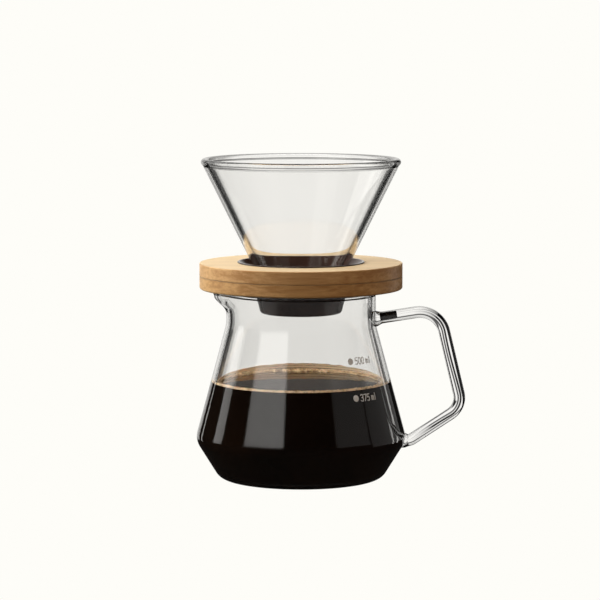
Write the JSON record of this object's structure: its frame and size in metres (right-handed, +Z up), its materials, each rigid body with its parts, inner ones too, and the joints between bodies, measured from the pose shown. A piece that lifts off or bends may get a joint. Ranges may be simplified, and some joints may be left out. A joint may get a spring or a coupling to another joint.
{
  "type": "pour over dripper",
  "caption": "Glass pour-over coffee cone in a bamboo collar, resting in the mouth of a glass server with a rod handle and pouring lip; the dripper turns and lifts off.",
  "frame": {"origin": "centre of the server's flat base, on the surface it stands on", "axes": "+Z up along the axis of the cone and the server, +X towards the handle, -X towards the pouring lip"},
  "size_m": [0.1488, 0.1156, 0.1773],
  "materials": {
    "server_glass": "clear, fire-polished",
    "handle_glass": "clear rod",
    "cone_glass": "clear, rolled rim",
    "mark_enamel": "printed grey enamel",
    "coffee_liquid": "still liquid",
    "coffee_crema": "fine foam",
    "neck_plastic": "semi-gloss dark brown",
    "seat_plastic": "gloss dark brown",
    "bamboo_lower": "oiled, laminated",
    "bamboo_upper": "oiled, laminated",
    "mouth_silicone": "satin silicone",
    "cone_silicone": "satin silicone"
  },
  "bodies": {
    "server": {"server_body": "server_glass", "server_handle": "handle_glass", "volume_mark_375": "mark_enamel", "volume_mark_500": "mark_enamel", "coffee": "coffee_liquid", "crema_ring": "coffee_crema"},
    "mouth_gasket": {"mouth_gasket": "mouth_silicone"},
    "holder": {"holder_neck": "neck_plastic", "seat_ring": "seat_plastic", "collar_bottom_ply": "bamboo_lower", "collar_top_ply": "bamboo_upper"},
    "cone_gasket": {"cone_gasket": "cone_silicone"},
    "cone": {"dripper_cone": "cone_glass"}
  },
  "joints": [
    {"name": "dripper_lift", "type": "slide", "parent": "server", "child": "mouth_gasket", "axis": [0, 0, 1], "range_m": [0, 0.06]},
    {"name": "dripper_turn", "type": "hinge", "parent": "mouth_gasket", "child": "holder", "pos_m": [0, 0, 0.104], "axis": [0, 0, 1], "continuous": true},
    {"name": "cone_turn", "type": "hinge", "parent": "holder", "child": "cone_gasket", "pos_m": [0, 0, 0.111], "axis": [0, 0, 1], "continuous": true},
    {"name": "cone_lift", "type": "slide", "parent": "cone_gasket", "child": "cone", "axis": [0, 0, 1], "range_m": [0, 0.06]}
  ]
}
